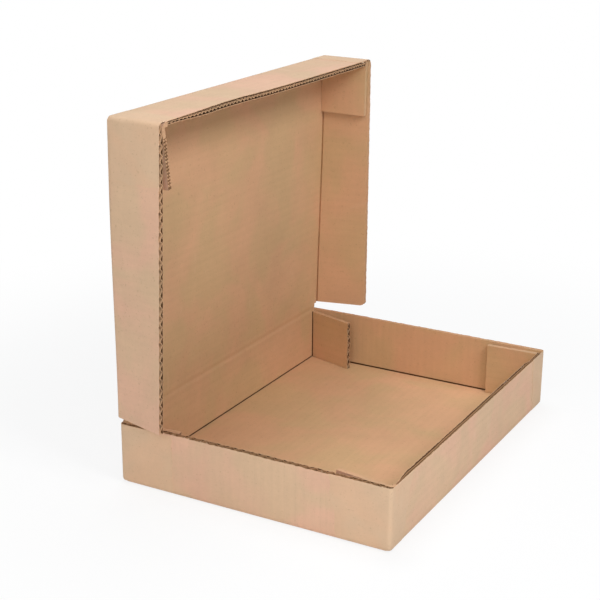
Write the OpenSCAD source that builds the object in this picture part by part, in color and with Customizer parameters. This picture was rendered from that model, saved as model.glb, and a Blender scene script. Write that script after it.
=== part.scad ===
// One-piece picture frame box of corrugated board: a shallow tray with a hinged lid.
// X runs from the hinge to the front wall, Y along the hinge, Z up.
// The origin is the middle of the tray's underside. Lengths are in millimetres.

/* [Board] */
// Thickness of the corrugated board
board_t = 4.2; // [3:0.1:5]
// Inside radius of the board's folds
bend_in = 0.5; // [0.3:0.1:1]
// Distance from flute to flute
flute_pitch = 7.8; // [5:0.1:10]
// Thickness of the liners and of the fluted paper at a cut edge
paper_t = 0.45; // [0.3:0.05:0.6]
// Depth to which the flutes stand open at a cut edge
flute_show = 3; // [1:0.5:4]

/* [Tray] */
// Outside width of the tray, from the hinge to the front
tray_w = 257; // [180:1:400]
// Outside length of the tray, along the hinge
tray_l = 346; // [240:1:500]
// Height of the tray's walls
tray_h = 57; // [40:1:90]
// Length of the tabs in the tray's corners
tray_tab_l = 55; // [30:1:80]
// How far the tray's tabs end below the top of the walls
tray_tab_drop = 2.5; // [1:0.5:6]
// Swing of the far tab at the hinge side, away from its wall, in degrees
swing_far_rear = 16.5; // [0:0.5:35]
// Swing of the near tab at the hinge side, in degrees
swing_near_rear = 4; // [0:1:35]
// Swing of the far tab at the front, in degrees
swing_far_front = 1.5; // [0:0.5:35]
// Swing of the near tab at the front, in degrees
swing_near_front = 9; // [0:1:35]

/* [Lid] */
// Room between the front walls of tray and lid when the lid is closed
front_room = 4; // [1:0.5:10]
// Height of the closed lid's edge over the surface that the tray stands on
lid_lift = 8; // [3:1:20]
// Length of the lid's two tabs
lid_tab_l = 55; // [30:1:70]
// Swing of the lid's near tab away from its wall, in degrees
lid_tab_swing = 9; // [0:1:10]
// How far the lid's tabs stay back from the free edge of its walls
lid_tab_back = 1.5; // [0.5:0.5:5]
// Lean of the open lid towards the front, in degrees
lid_lean = 0.7; // [0:0.1:3]
// Height from the tray's top to the lower end of the lid's near wall
near_wall_foot = 5.6; // [4:0.1:12]
// Height from the tray's top to the lower end of the lid's far wall
far_wall_foot = 6.6; // [4:0.1:12]
// How far the near wall's free edge stands out at the hinge end
near_flare = 12.4; // [2:0.1:20]
// How far the far wall's free edge stands out at the hinge end
far_flare = 13.4; // [2:0.1:20]
// How far both free edges stand out at the front end
front_flare = 1.3; // [1:0.1:4]
// Radius of the lower free corner of the far wall
far_corner_r = 4; // [1:0.5:8]

/* [Tape] */
// Thickness of the paper tape
tape_t = 0.15; // [0.1:0.05:0.3]
// Length of the tape on the tray's near and far walls
tape_side_l = 53; // [30:1:70]
// Length of the tape on the tray's front and rear walls
tape_end_l = 32; // [15:1:60]
// Length of the tape on the lid's near and far walls
lid_tape_side_l = 52; // [30:1:70]
// Length of the tape on the lid's top wall
lid_tape_top_l = 26; // [15:1:60]
// How far the tape ends below the top of the tray's walls
tape_drop = 1.4; // [1:0.1:4]

/* [Fits] */
// Clearance between the tray's tape and what the lid slides past it
slip = 0.25; // [0.2:0.05:1]
// Gap between a tab and the wall that it lies against
tab_gap = 0.2; // [0.1:0.05:1]
// Gap at a crushed score, between the two panels that turn on it
score_gap = 0.3; // [0.2:0.05:0.6]
// Depth of the crushed score on each face of the board
score_cut = 1.4; // [0.6:0.1:1.4]

/* [Hidden] */
// How much a cutting solid reaches past the face that it cuts
past = 1;
// Steps of the lid's lofted walls
lid_steps = 12;
// Steps of the arc round the outside of a bend
arc_steps = 5;
// Part of the lid's height, from the hinge, over which it widens to take its tabs
widen_part = 0.78;
// Outside radius of the board's folds
bend_out = board_t + bend_in;
// Height of the lid's turning axis over the underside of the tray
hinge_z = tray_h + score_gap + board_t / 2;
// Height of the lid, from its turning axis to the outside of its top wall
lid_top = tray_w + front_room + board_t / 2;
// Heights over the turning axis at which the tape on the lid's walls is lofted
tape_heights = [lid_top - lid_tape_side_l, lid_top - lid_tape_side_l / 2, lid_top];
// Depth of the lid, from the outside of its panel to the free edges of its walls
lid_depth = tray_h + score_gap + board_t - lid_lift;
// Half of the lid's outside length at the hinge end and at the front end
half_hinge = tray_l / 2 + tape_t + slip + board_t;
half_front = half_hinge + tab_gap + board_t;
// Half length of the score that joins the tray's rear wall to the lid
score_half = tray_l / 2 - board_t - tab_gap;
// Width of the lid's tabs, from the panel towards the free edge
lid_tab_w = lid_depth - board_t - score_gap - lid_tab_back;
// Outward tilt of the lid's tabs, which follows the flare of its walls
tab_tilt = atan(front_flare / (lid_depth - board_t));
// Heights over the turning axis at which the lid's walls begin
near_foot = near_wall_foot - (hinge_z - tray_h);
far_foot = far_wall_foot - (hinge_z - tray_h);
// Width of each of the two grooves in a cut edge that runs along a flute
groove_w = (board_t - 3 * paper_t) / 2;
// Fullness of round faces
$fn = 48;

kraft = [0.80, 0.64, 0.50];
kraft_inside = [0.73, 0.57, 0.42];
paper_tape = [0.82, 0.68, 0.54];

// Half length of the lid's outside, at a height over the turning axis
function widening(z) = min(1, max(0, z / (widen_part * lid_top)));
function eased(u) = u * u * (3 - 2 * u);
function fold_half(z) = half_hinge + (half_front - half_hinge) * eased(widening(z));
// Half length out to the free edge of a wall that flares at the hinge end
function free_half(z, flare) =
  half_hinge + flare + (half_front + front_flare - half_hinge - flare) * z / lid_top;

// Moves its children from one corner of the tray's underside to the corner that is named
module at_corner(front, far) {
  mirror([front ? 1 : 0, 0, 0])
    mirror([0, far ? 1 : 0, 0])
      translate([-tray_w / 2, -tray_l / 2, 0])
        children();
}

// What a fold of the board leaves out of a square corner
module bend_waste(length, radius = bend_out) {
  bend = [
    for (i = [0:arc_steps])
      let (a = 90 * i / arc_steps)
        [radius * (1 - sin(a)), radius * (1 - cos(a))]
  ];
  translate([0, 0, -past])
    linear_extrude(length + 2 * past)
      polygon(concat([[-past, radius], [-past, -past], [radius, -past]], bend));
}

// The same, lying along X or along Y, with its corner at the origin
module bend_waste_x(length) {
  rotate([90, 0, 90])
    bend_waste(length);
}

module bend_waste_y(length, radius = bend_out) {
  translate([0, length, 0])
    rotate([90, 0, 0])
      bend_waste(length, radius);
}

// The hollow of one open flute, a triangle between one liner and the fluted paper.
// The board's faces are at Y 0 and at Y board_t.
module flute_hollow(turned) {
  wide = flute_pitch / 2 - paper_t;
  base = turned ? board_t - paper_t : paper_t;
  tip = turned ? 2 * paper_t : board_t - 2 * paper_t;
  translate([0, 0, -flute_show])
    linear_extrude(flute_show + 2 * past)
      polygon([[-wide, base], [wide, base], [0, tip]]);
}

// Number of hollows on a cut edge, on either side of the fluted paper in turn
function hollows(length) = floor(2 * length / flute_pitch) - 1;

// Open flutes in a cut edge that runs along X from the origin, with the cut at Z 0
module open_flutes(length) {
  count = hollows(length);
  start = (length - (count - 1) * flute_pitch / 2) / 2;
  for (k = [0:count - 1])
    translate([start + k * flute_pitch / 2, 0, 0])
      flute_hollow(k % 2 == 1);
}

// Two grooves in a cut edge that runs along Y and along a flute, with a ridge of paper between
module open_groove(length) {
  for (k = [0, 1])
    translate([paper_t + k * (groove_w + paper_t), -length / 2, -flute_show])
      cube([groove_w, length, flute_show + past]);
}

// One side of the V of a crushed score, a bevel cut from the top edge of a wall
module score_waste(length) {
  rotate([90, 0, 0])
    linear_extrude(length, center = true)
      polygon([[-past, past], [-past, -score_cut - past], [score_cut + past, past]]);
}

// A tab of the tray at the corner at the origin, turned off its wall by its swing
module tray_tab(swing) {
  reach = tray_tab_l - board_t / 2;
  height = tray_h - tray_tab_drop - board_t - score_gap;
  translate([board_t / 2, board_t + tab_gap + board_t / 2, board_t + score_gap])
    rotate([0, 0, swing])
      translate([0, -board_t / 2, 0])
        difference() {
          cube([reach, board_t, height]);
          translate([reach, 0, height])
            rotate([0, 90, 0])
              open_flutes(height);
        }
}

// Floor, four walls and four tabs, folded from the same sheet
module tray_board() {
  color(kraft)
    difference() {
      union() {
        translate([-tray_w / 2, -tray_l / 2, 0])
          cube([tray_w, tray_l, board_t]);
        for (far = [false, true])
          at_corner(false, far)
            cube([tray_w, board_t, tray_h]);
        for (front = [false, true])
          difference() {
            at_corner(front, false)
              translate([0, tray_l / 2 - score_half, 0])
                cube([board_t, 2 * score_half, tray_h]);
            for (far = [false, true])
              at_corner(front, far)
                translate([0, board_t + tab_gap, board_t + past])
                  bend_waste(tray_h);
          }
        at_corner(false, false)
          tray_tab(swing_near_rear);
        at_corner(false, true)
          tray_tab(swing_far_rear);
        at_corner(true, false)
          tray_tab(swing_near_front);
        at_corner(true, true)
          tray_tab(swing_far_front);
      }
      for (far = [false, true])
        at_corner(false, far)
          bend_waste_x(tray_w);
      for (front = [false, true])
        at_corner(front, false)
          bend_waste_y(tray_l);
      for (far = [false, true])
        at_corner(false, far)
          translate([0, 0, tray_h])
            open_flutes(tray_w);
      at_corner(true, false)
        translate([0, tray_l / 2, tray_h])
          open_groove(2 * (score_half - bend_out));
      translate([-tray_w / 2, 0, tray_h]) {
        score_waste(2 * score_half);
        translate([board_t, 0, 0])
          mirror([1, 0, 0])
            score_waste(2 * score_half);
      }
    }
}

// Tape folded round the outside of one of the tray's corners
module tray_tape(front, far) {
  color(paper_tape)
    at_corner(front, far)
      translate([0, 0, board_t])
        linear_extrude(tray_h - tape_drop - board_t)
          polygon([
            [0, 0], [tape_side_l, 0], [tape_side_l, -tape_t],
            [-tape_t, -tape_t], [-tape_t, tape_end_l], [0, tape_end_l]
          ]);
}

// Moves its children from the lid's own frame to the open lid.
// There X is the depth from the outside of the panel and Z the height over the turning axis.
module open_lid() {
  translate([board_t / 2 - tray_w / 2, 0, hinge_z])
    rotate([0, lid_lean, 0])
      translate([-board_t / 2, 0, 0])
        children();
}

// Points round the bend between the lid's panel and its far wall, on one face of the board
function bend_rail(radius, half) = [
  for (i = [0:arc_steps])
    let (a = 90 * i / arc_steps)
      [bend_out - radius * sin(a), half - bend_out + radius * cos(a)]
];
function reversed(list) = [for (i = [len(list) - 1:-1:0]) list[i]];
function mirrored(list) = [for (p = list) [p[0], -p[1]]];

// One face of the lid's board at one height: near wall, panel and far wall
function lid_rail(z, radius) =
  let (
    bend = bend_rail(radius, fold_half(z)),
    depth = bend_out - radius,
    near = free_half(z, near_flare) - depth,
    far = free_half(z, far_flare) - depth
  )
    concat([[lid_depth, -near]], mirrored(bend), reversed(bend), [[lid_depth, far]]);

// A sheet between two faces, each given by a rail of points at each height.
// Every facet is split from its deeper point below, so that sheets laid face to face fit.
module sheet_loft(outside, inside, heights) {
  count = len(outside[0]);
  last = len(heights) - 1;
  ring = 2 * count;
  corners = [
    for (i = [0:last]) for (p = concat(outside[i], inside[i])) [p[0], p[1], heights[i]]
  ];
  function facets(low_a, low_b, high_a, high_b, deeper) =
    deeper
      ? [[low_a, low_b, high_a], [low_b, high_b, high_a]]
      : [[low_a, high_b, high_a], [low_a, low_b, high_b]];
  faces = [
    for (i = [0:last - 1], k = [0:count - 2])
      let (
        a = i * ring + k,
        b = a + count,
        deeper = outside[i][k + 1][0] > outside[i][k][0]
      )
        each concat(
          facets(a, a + 1, a + ring, a + ring + 1, deeper),
          facets(b + 1, b, b + ring + 1, b + ring, !deeper)
        )
  ];
  free_edges = [
    for (i = [0:last - 1])
      let (a = i * ring, b = a + count, c = b - 1, d = b + count - 1)
        each concat(
          facets(b, a, b + ring, a + ring, false),
          facets(c, d, c + ring, d + ring, false)
        )
  ];
  head = last * ring;
  caps = [
    for (k = [0:count - 2])
      each [
        [count + k, count + k + 1, k + 1, k],
        [head + k, head + k + 1, head + count + k + 1, head + count + k]
      ]
  ];
  polyhedron(corners, concat(faces, free_edges, caps));
}

// Open flutes down the free edge of the lid's near wall, turned with the flare of the wall
module lid_edge_flutes(foot, flare) {
  for (k = [1:hollows(lid_top - bend_out - foot)])
    let (
      z = foot + k * flute_pitch / 2,
      splay = atan((free_half(z, flare) - fold_half(z)) / (lid_depth - bend_out))
    )
      translate([lid_depth, -free_half(z, flare), z])
        rotate([0, 0, -splay])
          rotate([0, 90, 0])
            flute_hollow(k % 2 == 1);
}

// The lid's panel and its near and far walls, which flare towards the hinge
module lid_channel() {
  bare = lid_top - lid_tape_side_l;
  foot_heights = [for (i = [0:lid_steps - 1]) bare * i / lid_steps];
  heights = concat(foot_heights, tape_heights);
  difference() {
    sheet_loft(
      [for (z = heights) lid_rail(z, bend_out)],
      [for (z = heights) lid_rail(z, bend_in)],
      heights
    );
    translate([-past, -lid_depth - half_front, -past])
      cube([lid_depth + 2 * past, lid_depth + half_front - score_half, near_foot + past]);
    translate([-past, score_half, -past])
      cube([lid_depth + 2 * past, lid_depth + half_front, far_foot + past]);
    translate([lid_depth, score_half, far_foot])
      mirror([1, 0, 0])
        bend_waste_y(lid_depth + half_front - score_half, far_corner_r);
    lid_edge_flutes(near_foot, near_flare);
    mirror([0, 1, 0])
      lid_edge_flutes(far_foot, far_flare);
  }
}

// The lid's top wall between its near and far walls, with the bends into its two tabs
module lid_top_wall() {
  half = half_front - board_t - tab_gap;
  difference() {
    translate([0, -half, lid_top - board_t])
      cube([lid_depth, 2 * half, board_t]);
    for (side = [0, 1])
      mirror([0, side, 0])
        translate([board_t, -half, lid_top])
          mirror([0, 0, 1])
            bend_waste_x(lid_depth);
    translate([lid_depth, 0, lid_top])
      rotate([0, 90, 0])
        open_groove(2 * (half - bend_out));
  }
}

// One of the lid's tabs, hanging from its turning axis at the origin
module lid_tab() {
  end = board_t / 2 - lid_tab_l;
  rotate([0, 90, 0])
    cylinder(lid_tab_w, d = board_t);
  difference() {
    translate([0, -board_t / 2, end])
      cube([lid_tab_w, board_t, -end]);
    translate([0, board_t / 2, end])
      rotate([180, 0, 0])
        open_flutes(lid_tab_w);
  }
}

// Moves its children from the turning axis of a lid tab to the lid's own frame, near side
module at_lid_tab(swing) {
  translate([
    board_t + score_gap,
    board_t + tab_gap + board_t / 2 - half_front,
    lid_top - board_t - score_gap - board_t / 2
  ])
    rotate([0, 0, -tab_tilt])
      rotate([swing, 0, 0])
        children();
}

// Panel, top wall, near and far walls and the far tab, folded from the same sheet
module lid_board() {
  color(kraft)
    open_lid()
      difference() {
        union() {
          lid_channel();
          lid_top_wall();
          translate([0, -score_half, 0])
            rotate([-90, 0, 0])
              translate([board_t / 2, 0, 0])
                cylinder(2 * score_half, d = board_t);
          mirror([0, 1, 0])
            at_lid_tab(0) {
              lid_tab();
              translate([0, -board_t / 4, 0])
                cube([lid_tab_w, board_t / 2, board_t / 2 + 2 * score_gap]);
            }
        }
        translate([0, -half_front - past, lid_top])
          mirror([0, 0, 1])
            bend_waste_y(2 * half_front + 2 * past);
      }
}

// The loose tab of the lid, which swings in from the near wall
module lid_near_tab() {
  color(kraft_inside)
    open_lid()
      at_lid_tab(lid_tab_swing)
        lid_tab();
}

// Tape folded over one of the lid's top corners
module lid_tape(flare) {
  wall = [for (z = tape_heights) [[lid_depth, -free_half(z, flare)], [bend_out, -fold_half(z)]]];
  sheet_loft(
    [for (rail = wall) [for (p = rail) [p[0], p[1] - tape_t]]],
    wall,
    tape_heights
  );
  translate([bend_out, -half_front - tape_t, lid_top])
    cube([lid_depth - bend_out, lid_tape_top_l + tape_t, tape_t]);
}

module lid_tape_near() {
  color(paper_tape)
    open_lid()
      lid_tape(near_flare);
}

module lid_tape_far() {
  color(paper_tape)
    open_lid()
      mirror([0, 1, 0])
        lid_tape(far_flare);
}

tray_board();
tray_tape(false, false);  // tray_tape_near_rear
tray_tape(false, true);  // tray_tape_far_rear
tray_tape(true, false);  // tray_tape_near_front
tray_tape(true, true);  // tray_tape_far_front
lid_board();
lid_near_tab();
lid_tape_near();
lid_tape_far();
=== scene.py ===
"""Looks of the corrugated picture frame box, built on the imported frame."""

import math

import bmesh
import bpy
import numpy as np
from bpy.props import FloatProperty, FloatVectorProperty, PointerProperty
from mathutils import Matrix, Vector


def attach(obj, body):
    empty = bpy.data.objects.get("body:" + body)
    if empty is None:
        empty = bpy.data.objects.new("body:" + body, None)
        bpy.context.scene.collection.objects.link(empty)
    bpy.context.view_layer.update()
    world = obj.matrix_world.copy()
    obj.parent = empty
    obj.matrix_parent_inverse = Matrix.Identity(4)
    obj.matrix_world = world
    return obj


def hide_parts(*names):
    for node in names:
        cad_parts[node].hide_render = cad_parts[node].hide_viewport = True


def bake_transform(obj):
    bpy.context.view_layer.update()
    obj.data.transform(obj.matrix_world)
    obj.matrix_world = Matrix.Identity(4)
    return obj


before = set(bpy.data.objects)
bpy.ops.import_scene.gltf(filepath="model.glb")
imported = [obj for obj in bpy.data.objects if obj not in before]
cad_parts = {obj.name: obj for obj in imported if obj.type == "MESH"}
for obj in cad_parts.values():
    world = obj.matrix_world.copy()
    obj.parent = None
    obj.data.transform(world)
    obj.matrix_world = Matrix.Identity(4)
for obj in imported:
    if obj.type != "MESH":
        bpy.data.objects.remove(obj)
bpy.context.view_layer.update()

bl_info = {
    "name": "Picture Frame Box",
    "version": (1, 0, 0),
    "blender": (4, 5, 0),
    "location": "3D View > Sidebar > Frame Box",
    "description": "Builds the looks of a corrugated picture frame box around its packed parts",
    "category": "Object",
}

# Millimetres to metres
MM = 0.001
# Material slots of a sheet: outer face, inner face, cut edge, and painted shade, a dark colour on the faces
# inside cut edges and creases
OUTER, INNER, EDGE, PAINTED_SHADE = range(4)

# Shapes are worked out in millimetres from here on.
# Length of the table of random values behind wander, and a shift that keeps its places positive
TABLE, SHIFT = 4096, 1000
# Part of an edge's length over which a slot closes at each end, and the depth that is left there
CLOSING, CLOSED = 0.009, 0.05
# Part of a crease's depth by which its lips lie back
LIP = 0.35
# Points round a fold of the lid, and points over the flaring part of its walls
FOLD, FREE = 6, 5
# From the tray's middle to the outside of its rear wall
REAR_FACE = 128.5
# How far below the tray's top the hinge fold begins, and how far over the axis the lid's panel does
HINGE_LAP, PANEL_FOOT = 2.5, 3.2
# Gap between a lid tab and the panel, and between a lid tab and its side wall
TAB_GAP, WALL_GAP = 0.3, 0.2
# Radius of the lower free corner of the lid's far wall
LID_CORNER = 4.0
# How far the tray's near and far walls stand out at their middle
WALL_BOW = 0.1
# How far the tray's cut edges stay below the closed lid, on the side walls and on the end walls
SIDE_CLEAR, END_CLEAR = 0.45, 0.4
# How deep torn bits sit below a cut edge, in rows along it and in single spots
TORN_DROP = {"tray": 0.4, "lid": -0.1}
SPOT_DROP = {"tray": 0.6, "lid": -0.1}


# Settings

def length(name, default, description, low=0.0, high=1.0):
    """A length in metres, shown in the panel."""
    return FloatProperty(
        name=name, description=description, default=default,
        min=low, max=high, unit="LENGTH", subtype="DISTANCE", precision=5,
    )


def angle(name, degrees, description):
    """An angle given in degrees, shown in the panel."""
    return FloatProperty(name=name, description=description, default=math.radians(degrees), subtype="ANGLE")


def power(name, default, description):
    """The power of a lamp, shown in the panel."""
    return FloatProperty(name=name, description=description, default=default, unit="POWER")


class FrameBoxBoard(bpy.types.PropertyGroup):
    """The corrugated board that the whole box is folded from."""
    thickness: length("Thickness", 0.0042, "Thickness of the board")
    liner: length("Liner", 0.00045, "Thickness of the liners at a cut edge")
    bend: length("Bend", 0.0047, "Outside radius of a fold")
    crease: length("Crease", 0.0005, "Inside radius of a fold")
    valley: length("Valley", 0.0017, "How deep a fold is creased on its inside")
    worn: length("Worn back", 0.0012, "How far the outer liner is worn back at the cut edges")
    slot: length("Slot", 0.008, "How deep a cut edge can be looked into")
    pitch: length("Flute pitch", 0.0078, "Distance from flute to flute")
    medium: length("Medium", 0.00055, "Thickness of the fluted paper")
    shallow: length("Shallow slot", 0.0006, "Depth of a cut edge that is pressed shut")
    rough: length("Ragged edge", 0.00035, "How far the liners are torn at a cut edge")
    step: length("Step", 0.0016, "Distance between the rings of a sheet")


class FrameBoxTray(bpy.types.PropertyGroup):
    """The tray that lies on the floor."""
    width: length("Width", 0.257, "Outside width from the hinge to the front")
    long: length("Length", 0.346, "Outside length along the hinge")
    height: length("Height", 0.057, "Height of the walls")
    tab: length("Tab", 0.055, "Length of the corner tabs")
    tab_low: length("Tab bottom", 0.0045, "Height at which the tabs begin")
    tab_high: length("Tab top", 0.0545, "Height at which the tabs end")
    score: length("Score", 0.1686, "Half length of the front and rear walls")
    swings: FloatVectorProperty(
        name="Tab swings",
        description="Swing of each tab off its wall: near rear, far rear, near front, far front",
        default=tuple(math.radians(swing) for swing in (4, 16.5, 9, 1.5)),
        size=4, subtype="EULER",
    )


class FrameBoxLid(bpy.types.PropertyGroup):
    """The open lid."""
    lean: angle("Lean", 0.7, "Lean of the open lid")
    axis: length("Axis", 0.0594, "Height of the turning axis")
    top: length("Top", 0.2631, "Height from the turning axis to the outside of the top wall")
    depth: length("Depth", 0.0535, "Depth from the panel to the free edges")
    half_hinge: length("Half at hinge", 0.1776, "Half length at the hinge end")
    half_front: length("Half at front", 0.182, "Half length at the front end")
    near_flare: length("Near flare", 0.0124, "How far the near wall stands out at the hinge end")
    far_flare: length("Far flare", 0.0134, "How far the far wall stands out at the hinge end")
    front_flare: length("Front flare", 0.0013, "How far both walls stand out at the front end")
    near_foot: length("Near foot", 0.0032, "Height over the axis at which the near wall begins")
    far_foot: length("Far foot", 0.0042, "Height over the axis at which the far wall begins")
    widen: FloatProperty(
        name="Widening", description="Part of the height over which the lid widens", default=0.78,
    )
    tab: length("Tab", 0.055, "Length of the two tabs")
    tab_width: length("Tab width", 0.0475, "Width of the two tabs")
    tab_swing: angle("Tab swing", 9, "Swing of the near tab")


class FrameBoxTape(bpy.types.PropertyGroup):
    """The gummed paper tape round the corners."""
    thickness: length("Thickness", 0.00028, "Thickness of the tape with its glue")
    round: length("Round", 0.0034, "Radius at which the tape goes round a corner")
    tray_side: length("On the sides", 0.053, "Length on the near and far walls")
    tray_end: length("On the ends", 0.032, "Length on the front and rear walls")
    lid_side: length("Down the lid", 0.052, "Length down the lid's near and far walls")
    lid_top: length("Over the lid", 0.026, "Length on the lid's top wall")
    torn: length("Torn edge", 0.0012, "How uneven the torn ends are")


class FrameBoxStage(bpy.types.PropertyGroup):
    """Camera, light and floor."""
    lens: FloatProperty(name="Lens", description="Focal length", default=82.98, unit="CAMERA")
    place: FloatVectorProperty(
        name="Camera", description="Place of the camera", default=(0.52835, -1.0484, 0.53681),
        subtype="TRANSLATION", unit="LENGTH",
    )
    yaw: angle("Yaw", -28.838, "Heading of the camera")
    pitch: angle("Pitch", 18.822, "Downward pitch of the camera")
    roll: angle("Roll", 0.422, "Roll of the camera")
    key: power("Key", 11.3, "Power of the light high in front of the box")
    top: power("Top", 15.0, "Power of the light over and behind the box")
    right: power("Right fill", 8.7, "Power of the fill at the camera")
    left: power("Left fill", 5.7, "Power of the fill on the near side")
    fill: FloatProperty(name="Fill", description="Strength of the light from all round", default=0.1)
    veil: FloatProperty(
        name="Veil", description="Part of the floor's look that is plain white close to the box", default=0.82,
    )


class FrameBoxSettings(bpy.types.PropertyGroup):
    """Everything that the operators read."""
    board: PointerProperty(type=FrameBoxBoard)
    tray: PointerProperty(type=FrameBoxTray)
    lid: PointerProperty(type=FrameBoxLid)
    tape: PointerProperty(type=FrameBoxTape)
    stage: PointerProperty(type=FrameBoxStage)


class Sizes:
    """A property group's lengths as plain numbers in millimetres; angles and shares as they are."""

    def __init__(self, group):
        for key, prop in group.bl_rna.properties.items():
            if key in ("rna_type", "name"):
                continue
            value = getattr(group, key)
            lengthy = getattr(prop, "unit", "NONE") == "LENGTH" and not getattr(prop, "is_array", False)
            setattr(self, key, value / MM if lengthy else value)


def sizes(context):
    """The sizes of board, tray, lid and tape."""
    s = context.scene.frame_box
    return Sizes(s.board), Sizes(s.tray), Sizes(s.lid), Sizes(s.tape)


# Shapes

def wander(u, seed, step, amount):
    """Smooth random offsets along u, the same at every run."""
    u = np.asarray(u, float)
    table = np.random.default_rng(seed).uniform(-1, 1, TABLE)
    x = (u + SHIFT) / step
    k = np.floor(x).astype(int)
    f = x - k
    f = f * f * (3 - 2 * f)
    return amount * (table[k % TABLE] * (1 - f) + table[(k + 1) % TABLE] * f)


def ramp(x, a, b):
    """0 at a, 1 at b, smooth between them."""
    t = np.clip((np.asarray(x, float) - a) / (b - a), 0, 1)
    return t * t * (3 - 2 * t)


def spaced(a, b, step):
    """Even steps from a to b, as close to step as they go."""
    return np.linspace(a, b, max(2, int(round(abs(b - a) / step)) + 1))


def with_ends(us):
    """Shares from 0 to 1 with one more close to each end, where a slot closes."""
    return np.concatenate([us[:1], [CLOSING], us[1:-1], [1 - CLOSING], us[-1:]])


def shut(slot, u):
    """The depth of a slot that is closed at both ends of its edge."""
    return slot if 0 < u < 1 else CLOSED


def valley_shape(count):
    """How deep a crease is at each point round a fold, 0 to 1, and which way its lips lie back."""
    s = np.linspace(0, 1, count)
    lips = np.zeros(count)
    lips[0], lips[-1] = -1, 1
    return np.minimum(1, (0.5 - np.abs(s - 0.5)) / LIP), lips


def bent(centre, a0, a1, radii, count=6, valley=0.0):
    """Pairs of outer and inner points round a fold, angles in degrees."""
    out, inside = [], []
    depth, lips = valley_shape(count)
    for a, deep, lip in zip(np.radians(np.linspace(a0, a1, count)), depth * valley, lips * valley * LIP):
        d = np.array([math.cos(a), math.sin(a)])
        side = np.array([-d[1], d[0]])
        out.append(np.array(centre) + radii[0] * d)
        inside.append(np.array(centre) + (radii[1] + deep) * d + side * lip)
    return out, inside


def unit(v):
    """A direction with the length 1."""
    return v / max(np.linalg.norm(v), 1e-9)


def forked(o, i, t, lip, slot, ragged):
    """The end of a sheet where the liners stand free: six points from the outer face to the inner one."""
    m = unit(i - o)
    return [
        o + t * ragged[0], o + m * lip + t * ragged[0], o + m * lip - t * slot,
        i - m * lip - t * slot, i - m * lip + t * ragged[1], i + t * ragged[1],
    ]


# The faces inside the slot of a fork get painted shade.
FORK_TAGS = [EDGE, PAINTED_SHADE, PAINTED_SHADE, PAINTED_SHADE, EDGE]


def ring_loop(outer, inner, start=None, end=None, creased=(), pressed=False):
    """One closed ring of a sheet and the tags of its segments.
    start and end are None or (tangent, lip, slot, (ragged outer, ragged inner)).
    creased lists the inner segments that lie in a crease; these get painted shade. pressed gives the end no
    painted shade in its slot."""
    points, tags = [], []
    rows = list(outer)
    back = list(inner)[::-1]
    # Inner segments in a crease get painted shade.
    lining = [PAINTED_SHADE if k in creased else INNER for k in range(len(back) - 1)][::-1]
    if end is None:
        points += rows + back
        tags += [OUTER] * (len(rows) - 1) + [EDGE] + lining
    else:
        fork = forked(outer[-1], inner[-1], *end)
        points += rows[:-1] + fork + back[1:]
        tags += [OUTER] * (len(rows) - 1) + ([EDGE] * 5 if pressed else FORK_TAGS) + lining
    if start is None:
        tags.append(EDGE)
    else:
        t, lip, slot, ragged = start
        fork = forked(inner[0], outer[0], t, lip, slot, ragged[::-1])
        points = [fork[-1]] + points[1:-1] + fork[:-1]
        tags += FORK_TAGS
    return points, tags


def sheet_mesh(name, rings, tags, materials, angle=32, caps=(EDGE, EDGE)):
    """A closed mesh in metres from rings of points in millimetres."""
    count = len(rings[0])
    points = np.array(rings, float).reshape(-1, 3) * MM
    faces, slots = [], []
    for r in range(len(rings) - 1):
        a = r * count
        for k in range(count):
            n = (k + 1) % count
            faces.append((a + k, a + n, a + count + n, a + count + k))
            slots.append(tags[k])
    faces.append(tuple(range(count))[::-1])
    faces.append(tuple(range(len(points) - count, len(points))))
    slots += list(caps)
    mesh = bpy.data.meshes.new(name)
    mesh.from_pydata(points.tolist(), [], faces)
    for m in materials:
        mesh.materials.append(m)
    mesh.polygons.foreach_set("material_index", slots)
    finish_mesh(mesh, angle)
    return mesh


def finish_mesh(mesh, angle=32):
    """Turns the faces outwards and smooths them, apart from edges sharper than the angle."""
    bm = bmesh.new()
    bm.from_mesh(mesh)
    bmesh.ops.recalc_face_normals(bm, faces=bm.faces)
    bm.to_mesh(mesh)
    bm.free()
    mesh.shade_smooth()
    mesh.set_sharp_from_angle(angle=math.radians(angle))
    mesh.update()


def add_piece(context, mesh, body, replaces=()):
    """Links a mesh as a piece that moves with a body of the frame."""
    obj = bpy.data.objects.new(mesh.name, mesh)
    context.scene.collection.objects.link(obj)
    if body:
        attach(obj, body)
    if replaces:
        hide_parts(*replaces)
    return obj


class Edge:
    """A cut edge: where its two faces and its outward direction are at each step along it."""

    def __init__(self, slot):
        self.slot = slot
        self.u, self.outer, self.inner, self.out = [], [], [], []

    def add(self, u, outer, inner, out):
        self.u.append(u)
        self.outer.append(np.array(outer, float))
        self.inner.append(np.array(inner, float))
        self.out.append(np.array(out, float))

    def place(self, points, thickness):
        """Points as (along, across from the outer face, depth below the cut) to places in the frame."""
        u = np.array(self.u)
        o, i, t = (np.array(x) for x in (self.outer, self.inner, self.out))
        at = lambda table: np.stack([np.interp(points[:, 0], u, table[:, k]) for k in range(3)], 1)
        po, pi, pt = at(o), at(i), at(t)
        share = (points[:, 1] / thickness)[:, None]
        return po + (pi - po) * share - pt * points[:, 2][:, None]


EDGES = {}


# Materials

def colour(r, g, b):
    """A screen colour, 0 to 255, as the linear colour that shaders take."""
    lin = lambda c: c / 12.92 if c <= 0.04045 else ((c + 0.055) / 1.055) ** 2.4
    return tuple(lin(c / 255) for c in (r, g, b)) + (1.0,)


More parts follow.
